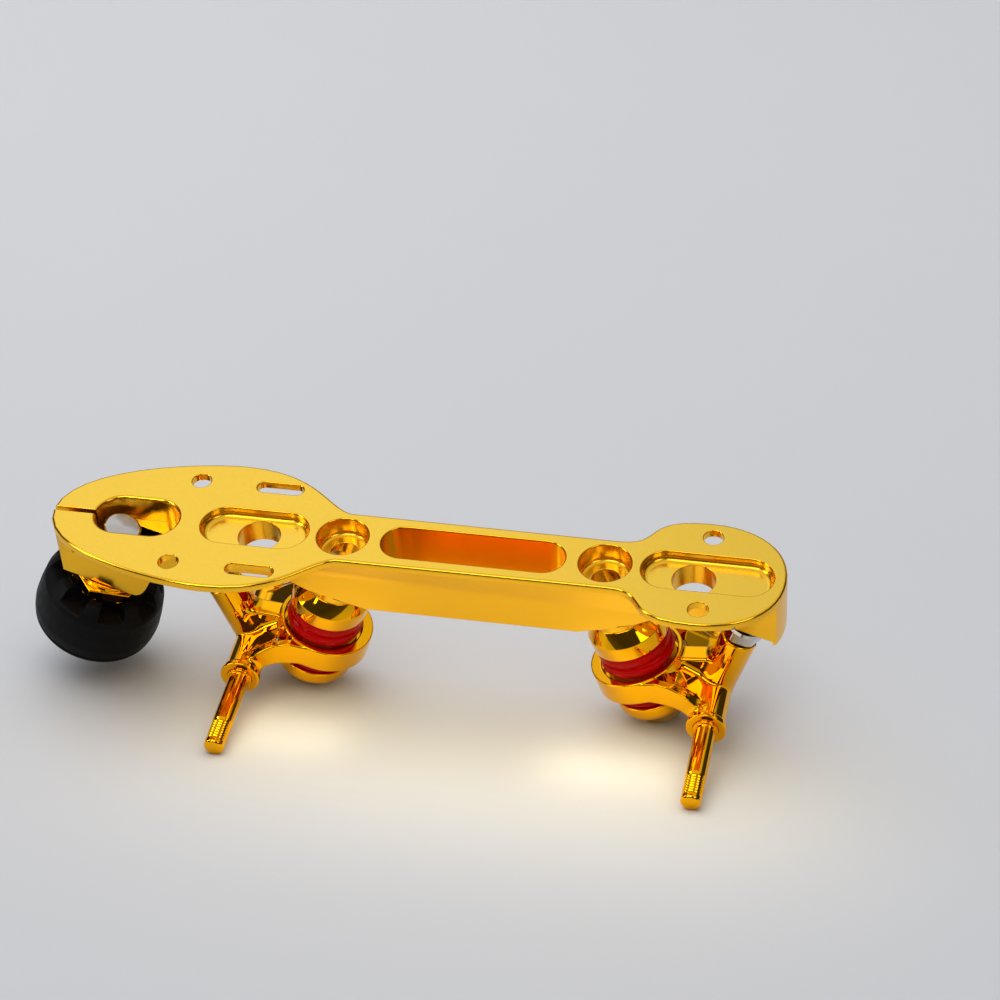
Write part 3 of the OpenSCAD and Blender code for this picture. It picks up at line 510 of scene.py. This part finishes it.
# %% Net of points on a zero surface
def surface_net(distance, low, high, step):
    counts = np.ceil((np.array(high) - low) / step).astype(int) + 1
    axes = [low[i] + step * np.arange(counts[i]) for i in range(3)]
    grid = np.stack(np.meshgrid(*axes, indexing="ij"), -1).reshape(-1, 3)
    value = distance(grid).reshape(counts)
    inside = value < 0
    cells = tuple(counts - 1)
    corner = {}
    for i in (0, 1):
        for j in (0, 1):
            for k in (0, 1):
                corner[i, j, k] = tuple(slice(o, o + n) for o, n in zip((i, j, k), cells))
    total, crossings = np.zeros(cells + (3,)), np.zeros(cells)
    for start in corner:
        for axis in range(3):
            if start[axis]:
                continue
            finish = tuple(1 if a == axis else start[a] for a in range(3))
            one, two = value[corner[start]], value[corner[finish]]
            crossed = (one < 0) != (two < 0)
            part = np.where(crossed, one / np.where(crossed, one - two, 1), 0)
            for a in range(3):
                total[..., a] += np.where(crossed, start[a] + (part if a == axis else 0), 0)
            crossings += crossed
    active = crossings > 0
    index = np.full(cells, -1)
    index[active] = np.arange(active.sum())
    cell = np.stack(np.nonzero(active), -1)
    points = np.array(low) + step * (cell + total[active] / crossings[active][:, None])
    quads = []
    for axis in range(3):
        b, c = (axis + 1) % 3, (axis + 2) % 3
        first = [slice(None)] * 3
        second = [slice(None)] * 3
        first[axis], second[axis] = slice(0, -1), slice(1, None)
        changed = inside[tuple(first)] != inside[tuple(second)]
        at = np.stack(np.nonzero(changed), -1)
        at = at[(at[:, b] > 0) & (at[:, c] > 0) & (at[:, b] < cells[b]) & (at[:, c] < cells[c])]
        ring = []
        for db, dc in ((0, 0), (1, 0), (1, 1), (0, 1)):
            shifted = at.copy()
            shifted[:, b] -= db
            shifted[:, c] -= dc
            ring.append(index[tuple(shifted.T)])
        quads.append(np.stack(ring, -1))
    return points, np.vstack(quads)

def slope_of(distance, points, reach=0.04):
    slope = np.empty_like(points)
    for a in range(3):
        offset = np.zeros(3)
        offset[a] = reach
        slope[:, a] = (distance(points + offset) - distance(points - offset)) / (2 * reach)
    return slope

NET_LOW, NET_HIGH, NET_STEP = (40, -25.4, -67), (106, 25.4, -26.5), 0.45
PULLS, LONGEST_PULL, LEAST_SLOPE, NORMAL_REACH = 4, 0.3, 0.2, 0.15
hanger_points, hanger_quads = surface_net(hanger_distance, NET_LOW, NET_HIGH, NET_STEP)
for _ in range(PULLS):
    slope = slope_of(hanger_distance, hanger_points)
    pull = hanger_distance(hanger_points) / np.maximum((slope ** 2).sum(1), LEAST_SLOPE)
    hanger_points -= np.clip(pull, -LONGEST_PULL, LONGEST_PULL)[:, None] * slope
print("hanger net:", len(hanger_points), "points,", len(hanger_quads), "quads")

# %% Hanger pieces
hanger_normals = slope_of(hanger_distance, hanger_points, NORMAL_REACH)
hanger_normals /= np.linalg.norm(hanger_normals, axis=1)[:, None]
for end in SIGN_OF:
    points = at_end(hanger_points, end)
    piece = make_object(f"{end}_cast_hanger", points, hanger_quads.tolist(), truck_gold, 180)
    piece.data.normals_split_custom_set_from_vertices(at_end(hanger_normals, end).tolist())
    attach(piece, f"{end}_truck")
    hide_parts(f"{end}_hanger")

# %% [markdown]
# ## Turned gold
# The cups and axles come off a lathe, so here they do too: a half outline is swept round an axis.
# Each corner of the outline is first rounded by a short curve, and 160 steps keep the mirror finish smooth.

# %% Lathe
def band(first, count):
    after = [(i + 1) % count for i in range(count)]
    return [(first + i, first + j, first + count + j, first + count + i) for i, j in enumerate(after)]

def lathe(profile, origin, axis, out, segments=160):
    angles = np.linspace(0, 2 * math.pi, segments, endpoint=False)
    aside = np.cross(axis, out)
    points, faces = [], []
    for radius, station in profile:
        for angle in angles:
            points.append(origin + axis * station + radius * (math.cos(angle) * out + math.sin(angle) * aside))
    for row in range(len(profile) - 1):
        faces += band(row * segments, segments)
    return points, faces

def soft_corners(profile, radius, steps=4):
    p = [np.array(q, float) for q in profile]
    rows = [p[0]]
    for before, corner, after in zip(p, p[1:], p[2:]):
        reach_in = min(radius, 0.45 * np.linalg.norm(before - corner))
        reach_out = min(radius, 0.45 * np.linalg.norm(after - corner))
        start = corner + (before - corner) / np.linalg.norm(before - corner) * reach_in
        stop = corner + (after - corner) / np.linalg.norm(after - corner) * reach_out
        for t in np.linspace(0, 1, steps):
            rows.append((1 - t) ** 2 * start + 2 * t * (1 - t) * corner + t * t * stop)
    return [tuple(r) for r in rows] + [tuple(p[-1])]

def weld(piece):
    work = bmesh.new()
    work.from_mesh(piece.data)
    bmesh.ops.remove_doubles(work, verts=work.verts, dist=1e-7)
    bmesh.ops.recalc_face_normals(work, faces=work.faces)
    work.to_mesh(piece.data)
    work.free()
    return piece

# %% Cups and axles
PIN_HOLE_R, CUP_NECK_R = 5.3, 13.42
INNER_TOP_S, INNER_FLOOR_S, INNER_RIM_S = 17.5, 26.9, 28.9
OUTER_RIM_S, OUTER_FLOOR_S, OUTER_END_S = 55.0, 57.0, 61.94
INNER_CUP = [(PIN_HOLE_R, INNER_TOP_S), (11.4, INNER_TOP_S), (15, 22.9), (15, INNER_RIM_S),
             (CUP_NECK_R, INNER_RIM_S), (CUP_NECK_R, INNER_FLOOR_S), (PIN_HOLE_R, INNER_FLOOR_S),
             (PIN_HOLE_R, INNER_TOP_S)]
OUTER_CUP = [(PIN_HOLE_R, OUTER_FLOOR_S), (CUP_NECK_R, OUTER_FLOOR_S), (CUP_NECK_R, OUTER_RIM_S),
             (15.2, OUTER_RIM_S), (15.2, 59.4), (14.4, 61.2), (12.6, OUTER_END_S),
             (PIN_HOLE_R, OUTER_END_S), (PIN_HOLE_R, OUTER_FLOOR_S)]
THREAD_END, PITCH, TURNS = 59.6, 1.25, 8
axle_end = [(0.01, 61.4), (3.2, 61.4), (3.85, 60.7), (3.85, THREAD_END)]
for i in range(TURNS):
    axle_end += [(3.95, THREAD_END - (i + 0.5) * PITCH), (3.35, THREAD_END - (i + 1) * PITCH)]
axle_end += [(4, THREAD_END - (TURNS + 0.8) * PITCH), (4, 25), (4.8, 25), (4.8, 0)]
AXLE_PROFILE = [(r, -y) for r, y in axle_end[:-1]] + axle_end[-2::-1]

for end in SIGN_OF:
    turned = (("inner_cup", INNER_CUP, KINGPIN_FOOT, KINGPIN_AXIS, KINGPIN_OUT, 0.25),
              ("outer_cup", OUTER_CUP, KINGPIN_FOOT, KINGPIN_AXIS, KINGPIN_OUT, 0.6),
              ("axle", AXLE_PROFILE, AXLE, ACROSS, np.array([1.0, 0, 0]), 0.25))
    for name, profile, origin, axis, out, corner in turned:
        points, faces = lathe(soft_corners(profile, corner), origin, axis, out)
        piece = weld(make_object(f"{end}_turned_{name}", at_end(points, end), faces, truck_gold, 60))
        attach(piece, body_of[f"{end}_{name}"])
        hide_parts(f"{end}_{name}")

# %% [markdown]
# ## Red bushings
# The bushings are cast urethane, clear enough for light to sink in a little before it comes back.
# Each is a lathe form: a neck in its cup, two swollen bands with a soft crease between, and a foot in the ring.
# On the real skate they bend between the plate and the truck when it steers, so the bore widens towards the
# ring and the bent rubber stays clear of the kingpin.

# %% Urethane finish
urethane, tree, shader = new_material("red_urethane")
RED_LIGHT, RED_DEEP = (0.56, 0.0003, 0.0007), (0.34, 0.0002, 0.0004)
paint(tree, shader, (90,), (RED_LIGHT, RED_DEEP), (260,), (0.07, 0.11))
shader.inputs["Subsurface Weight"].default_value = 0.15
shader.inputs["Subsurface Radius"].default_value = (0.004, 0.0004, 0.0003)
shader.inputs["Subsurface Scale"].default_value = 1
shader.inputs["Specular IOR Level"].default_value = 0.08
bump_on(tree, shader, noise_of(tree, 500, 2), 0.04, 0.0002)
print("finish:", urethane.name)

# %% Bushing pieces
NECK_R, FOOT_R, FOOT_BORE_R, FOOT_GAP, RIM_GAP = 13.38, 13.6, 8.0, 0.25, 0.2
SWELL, LOWER_SWELL, CREASE, BAND_END, FULLNESS = 0.95, 1.15, 0.52, 1.03, 0.6
BAND_ROWS = 37

def bushing_profile(cup_floor, rim, lip, web):
    way = 1 if web > cup_floor else -1
    shown, foot = abs(lip - rim), web - way * FOOT_GAP
    rows = [(PIN_HOLE_R, cup_floor), (NECK_R, cup_floor), (NECK_R, rim + way * 0.15)]
    for share in np.linspace(0, 1, BAND_ROWS):
        if share < CREASE:
            swell = SWELL * math.sin(math.pi * share / CREASE) ** FULLNESS
        else:
            swell = LOWER_SWELL * math.sin(math.pi * (share - CREASE) / (BAND_END - CREASE)) ** FULLNESS
        rows.append((FOOT_R + swell, rim + way * (RIM_GAP + (shown - RIM_GAP) * share)))
    rows += [(FOOT_R + 0.3, foot - way * 0.4), (FOOT_R, foot), (FOOT_BORE_R, foot),
             (PIN_HOLE_R, rim), (PIN_HOLE_R, cup_floor)]
    return rows

for end in SIGN_OF:
    for side, cup_floor, rim, lip, web in (("inner", INNER_FLOOR_S, INNER_RIM_S, RING_S, WEB_S),
                                           ("outer", OUTER_FLOOR_S, OUTER_RIM_S, RING_END_S, WEB_END_S)):
        profile = bushing_profile(cup_floor, rim, lip, web)
        points, faces = lathe(profile, KINGPIN_FOOT, KINGPIN_AXIS, KINGPIN_OUT)
        piece = weld(make_object(f"{end}_{side}_urethane", at_end(points, end), faces, urethane, 50))
        start, stop = (Vector(at_end(kingpin_point(s) * MM, end)) for s in (rim, web))
        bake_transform(piece)
        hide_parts(f"{end}_{side}_bushing")

# %% [markdown]
# ## Toe stop rubber
# The stop is a moulded barrel. Its skirt is notched like a castle wall round the lock nut,
# a groove runs round the barrel, and lozenge pads stand on the face.
# The barrel is a lathe form whose rim rises in each notch, and the pads are cut from a slanted grid.

# %% Rubber finish
rubber, tree, shader = new_material("black_rubber")
RUBBER_LIGHT, RUBBER_DEEP = (0.005, 0.005, 0.0055), (0.0035, 0.0035, 0.004)
paint(tree, shader, (80,), (RUBBER_LIGHT, RUBBER_DEEP), (400,), (0.42, 0.56))
shader.inputs["Specular IOR Level"].default_value = 0.08
bump_on(tree, shader, noise_of(tree, 900, 4), 0.12, 0.0002)
print("finish:", rubber.name)

# %% Toe stop barrel
STOP_TILT = math.radians(21)
STOP_FOOT = np.array([145.4, 0, -27.5])
STOP_AXIS = np.array([math.sin(STOP_TILT), 0, -math.cos(STOP_TILT)])
STOP_OUT = np.array([math.cos(STOP_TILT), 0, math.sin(STOP_TILT)])
RIM_R, SKIRT_R, WIDE_R, RECESS_IN_R = 19.6, 23.6, 24.8, 16.2
RIM_T, SKIRT_T, WIDE_T, FACE_T, FLOOR_T = 4.8, 12.4, 25.0, 34.0, 32.2
NOTCHES, NOTCH_HALF, NOTCH_DEEP, NOTCH_R = 8, 4.7, 5.5, 19.0
NOTCH_SQUARE, NOTCH_EASE = 14, 0.3
STEM_HOLE_R, RECESS_T, SKIRT_FROM_T = 7.35, 10.6, 11.0
INSIDE_RIM_ROWS, OUTSIDE_RIM_ROWS = (3, 4), (5, 6)
SEGMENTS = 480

def barrel_radius(t):
    return float(np.interp(t, (RIM_T, SKIRT_T, WIDE_T), (RIM_R, SKIRT_R, WIDE_R)))

def notch_rise(angle, radius):
    step = 2 * math.pi / NOTCHES
    off = abs((angle % step) - step / 2) * radius
    return NOTCH_DEEP * max(0.0, 1 - (off / NOTCH_HALF) ** NOTCH_SQUARE) ** NOTCH_EASE

barrel = [(STEM_HOLE_R, 12.0), (STEM_HOLE_R, RECESS_T), (RECESS_IN_R, RECESS_T),
          (RECESS_IN_R, RIM_T + 0.4), (RECESS_IN_R + 0.4, RIM_T),
          (barrel_radius(RIM_T) - 0.6, RIM_T), (barrel_radius(RIM_T + 0.5), RIM_T + 0.5)]
outline = [(barrel_radius(SKIRT_FROM_T), SKIRT_FROM_T), (SKIRT_R, SKIRT_T), (24.45, 19), (WIDE_R, WIDE_T),
           (24.3, 29.2), (23.5, 29.9), (23.5, 30.1), (23.95, 30.8), (22.9, 32.6),
           (21.5, FACE_T), (21.4, FACE_T - 0.1), (21.2, FLOOR_T), (10.0, FLOOR_T)]
barrel += soft_corners(outline, 0.5) + [(0.02, FLOOR_T)]
points, faces = lathe(barrel, STOP_FOOT, STOP_AXIS, STOP_OUT, SEGMENTS)
aside = np.cross(STOP_AXIS, STOP_OUT)
for row in INSIDE_RIM_ROWS + OUTSIDE_RIM_ROWS:
    radius, t = barrel[row]
    for i in range(SEGMENTS):
        angle = 2 * math.pi * i / SEGMENTS
        rise = notch_rise(angle, NOTCH_R)
        slid = radius + (barrel_radius(t + rise) - barrel_radius(t) if row in OUTSIDE_RIM_ROWS else 0)
        points[row * SEGMENTS + i] = (STOP_FOOT + STOP_AXIS * (t + rise)
                                      + slid * (math.cos(angle) * STOP_OUT + math.sin(angle) * aside))
faces += [tuple(row * SEGMENTS + i for i in range(SEGMENTS)) for row in (0, len(barrel) - 1)]
print("barrel rows:", len(barrel))

# %% Tread pads
PAD_LEAN, PAD_PITCH, PAD_GROOVE, PAD_R = math.radians(32), 8.5, 2.0, 21.2
PAD_STEPS, FACE_LINES, FAR, SMALLEST_REACH, INSET_EASE = range(-4, 4), 64, 60, 1.2, 1.5
PAD_LEVELS = ((FLOOR_T - 0.2, 0), (FACE_T - 0.55, 0.05), (FACE_T - 0.2, 0.2),
              (FACE_T - 0.04, 0.5), (FACE_T, 0.95))

def clip(polygon, normal, limit):
    kept = []
    for p, q in zip(polygon, polygon[1:] + polygon[:1]):
        a, b = np.dot(p, normal) - limit, np.dot(q, normal) - limit
        if a <= 0:
            kept.append(p)
        if a * b < 0:
            kept.append(p + (q - p) * a / (a - b))
    return kept

slants = [np.array([way * math.sin(PAD_LEAN), math.cos(PAD_LEAN)]) for way in (-1, 1)]
turns = np.linspace(0, 2 * math.pi, FACE_LINES, endpoint=False)
edge_lines = [np.array([math.cos(a), math.sin(a)]) for a in turns]
pads = 0
for i in PAD_STEPS:
    for j in PAD_STEPS:
        pad = [np.array(c, float) for c in ((-FAR, -FAR), (FAR, -FAR), (FAR, FAR), (-FAR, FAR))]
        for slant, k in zip(slants, (i, j)):
            pad = clip(pad, slant, (k + 1) * PAD_PITCH - PAD_GROOVE / 2) if pad else pad
            pad = clip(pad, -slant, -k * PAD_PITCH - PAD_GROOVE / 2) if pad else pad
        for line in edge_lines:
            pad = clip(pad, line, PAD_R) if pad else pad
        if len(pad) < 3:
            continue
        pad = np.array(pad)
        middle = pad.mean(0)
        reach = np.linalg.norm(pad - middle, axis=1).min()
        if reach < SMALLEST_REACH:
            continue
        base = len(points)
        for t, inset in PAD_LEVELS:
            for corner in pad:
                u, v = middle + (corner - middle) * (1 - inset / (reach + INSET_EASE))
                points.append(STOP_FOOT + STOP_AXIS * t + STOP_OUT * u + ACROSS * v)
        n = len(pad)
        top = len(PAD_LEVELS) - 1
        for row in range(top):
            faces += band(base + row * n, n)
        faces.append(tuple(base + top * n + a for a in range(n)))
        faces.append(tuple(base + a for a in range(n)))
        pads += 1
stop = make_object("toe_stop_barrel", points, faces, rubber, 38)
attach(stop, "toe_stop")
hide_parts("toe_stop_rubber")
print("tread pads:", pads)

# %% [markdown]
# ## Toe stop stem
# The stem's top shows in its pocket: a turned steel face with fine rings.
# The rings are a wave texture laid along the stem's own axis.

# %% Stem
turned_steel, tree, shader = new_material("turned_steel")
shader.inputs["Metallic"].default_value = 1
STEEL_LIGHT, STEEL_DEEP = (0.62, 0.6, 0.57), (0.52, 0.5, 0.47)
paint(tree, shader, (200,), (STEEL_LIGHT, STEEL_DEEP), (700, 3), (0.16, 0.24))
upright = Matrix((STOP_OUT, -ACROSS, -STOP_AXIS)).to_4x4() @ Matrix.Translation(Vector(-STOP_FOOT * MM))
coords = add(tree, "ShaderNodeTexCoord")
along = add(tree, "ShaderNodeMapping", Rotation=upright.to_euler(), Location=upright.to_translation())
rings = add(tree, "ShaderNodeTexWave", wave_type="RINGS", rings_direction="Z", Scale=900, Distortion=0.2)
join(tree, coords.outputs["Object"], along.inputs[0])
join(tree, along.outputs[0], rings.inputs[0])
bump_on(tree, shader, rings.outputs[1], 0.25, BUMP_DEPTH)
STEM = [(0.01, -22.5), (6.5, -22.5), (7.3, -21.7), (7.3, 13.4), (15.8, 13.4), (15.8, 16.4), (0.01, 16.4)]
points, faces = lathe(soft_corners(STEM, 0.3), STOP_FOOT, STOP_AXIS, STOP_OUT)
stem = weld(make_object("turned_stem", points, faces, turned_steel, 50))
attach(stem, "toe_stop")
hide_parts("toe_stop_stem")

# %% [markdown]
# ## Floor and light
# The plate lies on a pale seamless sweep under broad soft lights.
# Polished gold shows whatever surrounds it, so the studio has a soft ceiling, a dark room behind the
# camera and bright cards: those become the dark and bright streaks in the metal.
# Only the metal sees the cards, so they can be placed for their reflections and leave the floor alone.

# %% Floor
floor_paint, tree, shader = new_material("floor_paint")
FLOOR_LIGHT, FLOOR_DEEP = (0.655, 0.665, 0.687), (0.638, 0.648, 0.67)
join(tree, mix_colours(tree, noise_of(tree, 3), FLOOR_LIGHT, FLOOR_DEEP), shader.inputs["Base Color"])
shader.inputs["Roughness"].default_value = 0.6
shader.inputs["Specular IOR Level"].default_value = 0.2
FLOOR_SIDE, FLOOR_FRONT, FLOOR_BACK, SWEEP_R, WALL_TOP = 2.6, 0.42, -2.4, 0.6, 2.2
rows = [(FLOOR_FRONT, 0.0), (FLOOR_BACK, 0.0)]
for a in np.linspace(0.1, math.pi / 2, 12):
    rows.append((FLOOR_BACK - SWEEP_R * math.sin(a), SWEEP_R * (1 - math.cos(a))))
rows.append((FLOOR_BACK - SWEEP_R, WALL_TOP))
points = [(x, y, z + floor_height) for y, z in rows for x in (-FLOOR_SIDE, FLOOR_SIDE)]
points = [tuple(c / MM for c in (STUDIO @ Vector(p))) for p in points]
faces = [(2 * i, 2 * i + 1, 2 * i + 3, 2 * i + 2) for i in range(len(rows) - 1)]
floor = make_object("floor", points, faces, floor_paint, 180)

# %% World
WORLD_STOPS = ((0.0, 0.1), (0.5, 0.07), (0.55, 0.04), (0.77, 0.05), (0.81, 0.3), (0.85, 0.74), (1.0, 0.8))
COOL, DIM_SIDE, BRIGHT_SIDE = 1.02, 0.88, 1.12

def grey(level):
    return (level, level, level * COOL, 1)

world = bpy.data.worlds.new("studio")
bpy.context.scene.world = world
world.use_nodes = True
tree = world.node_tree
coords = add(tree, "ShaderNodeTexCoord")
turn = add(tree, "ShaderNodeMapping", vector_type="POINT", Rotation=(-lean, 0, 0))
split = add(tree, "ShaderNodeSeparateXYZ")
ramp = add(tree, "ShaderNodeValToRGB")
join(tree, coords.outputs["Generated"], turn.inputs[0])
join(tree, turn.outputs[0], split.inputs[0])
join(tree, ranged(tree, split.outputs["Z"], -1, 1, 0, 1), ramp.inputs[0])
for element, (position, brightness) in zip(ramp.color_ramp.elements, (WORLD_STOPS[0], WORLD_STOPS[-1])):
    element.position, element.color = position, grey(brightness)
for position, brightness in WORLD_STOPS[1:-1]:
    ramp.color_ramp.elements.new(position).color = grey(brightness)
sky = tree.nodes["Background"]
join(tree, ramp.outputs[0], sky.inputs["Color"])
join(tree, ranged(tree, split.outputs["X"], -1, 1, DIM_SIDE, BRIGHT_SIDE), sky.inputs["Strength"])
print("world bands:", len(ramp.color_ramp.elements))

# %% Lamps
def softbox(name, place, aim, size, brightness, tint=(1, 1, 1), mirrored_in_metal=True, lights_floor=True):
    lamp = bpy.data.lights.new(name, "AREA")
    lamp.shape = "RECTANGLE"
    lamp.size, lamp.size_y = size
    lamp.energy = brightness * math.pi * size[0] * size[1]
    lamp.color = tint
    made = bpy.data.objects.new(name, lamp)
    bpy.context.scene.collection.objects.link(made)
    at, to = STUDIO @ Vector(place), STUDIO @ Vector(aim)
    made.location = at
    made.rotation_euler = (to - at).to_track_quat("-Z", "Y").to_euler()
    made.visible_camera = False
    made.visible_glossy = mirrored_in_metal
    made.visible_diffuse = lights_floor
    print(name, [round(c, 2) for c in at], "watts", round(lamp.energy, 1))

softbox("top_softbox", (0.75, -0.75, 1.15), (0.05, 0, 0), (1.2, 1.0), 0.28)
CARDS = (("left_card", (0.95, 0.45, 0.4), (0.3, 0.7), 4.0),
         ("front_card", (0.22, 0.98, 0.74), (0.8, 0.44), 2.7),
         ("narrow_card", (0.55, 0.95, 0.52), (0.14, 0.4), 4.0),
         ("right_card", (-0.8, 0.8, 0.5), (0.55, 0.36), 2.4))
CARD_AIM = (0, 0, -0.03)
for name, place, size, brightness in CARDS:
    softbox(name, place, CARD_AIM, size, brightness, lights_floor=False)
softbox("ceiling_fill", (0.9, -0.75, 2.4), (0.3, -0.75, 0), (3, 3), 1.54, mirrored_in_metal=False)

# %% [markdown]
# ## Warm glow
# Polished gold throws warm light down onto the floor in front of it. Tracing such mirrored light is slow
# and grainy, so three thin warm lamps under the beam and the trucks do it, and no mirror shows them.

# %% Glow lamps
NUDGE = 0.0001
BEAM_TINT, TRUCK_TINT = (1, 0.86, 0.5), (1, 0.88, 0.6)

def glow(name, x, y, above, size, brightness, tint):
    place, aim = (x, y, floor_height + above), (x, y + NUDGE, floor_height)
    softbox(name, place, aim, size, brightness, tint, mirrored_in_metal=False)

glow("warm_glow", -0.01, 0.035, 0.05, (0.25, 0.05), 1.3, BEAM_TINT)
for name, x in (("front_truck_glow", 0.07), ("rear_truck_glow", -0.058)):
    glow(name, x, 0.024, 0.015, (0.05, 0.024), 0.95, TRUCK_TINT)

# %% [markdown]
# ## Finish
# The view transform stays plain, so that colours come out as they are written.

# %% View transform
bpy.context.scene.view_settings.view_transform = "Standard"
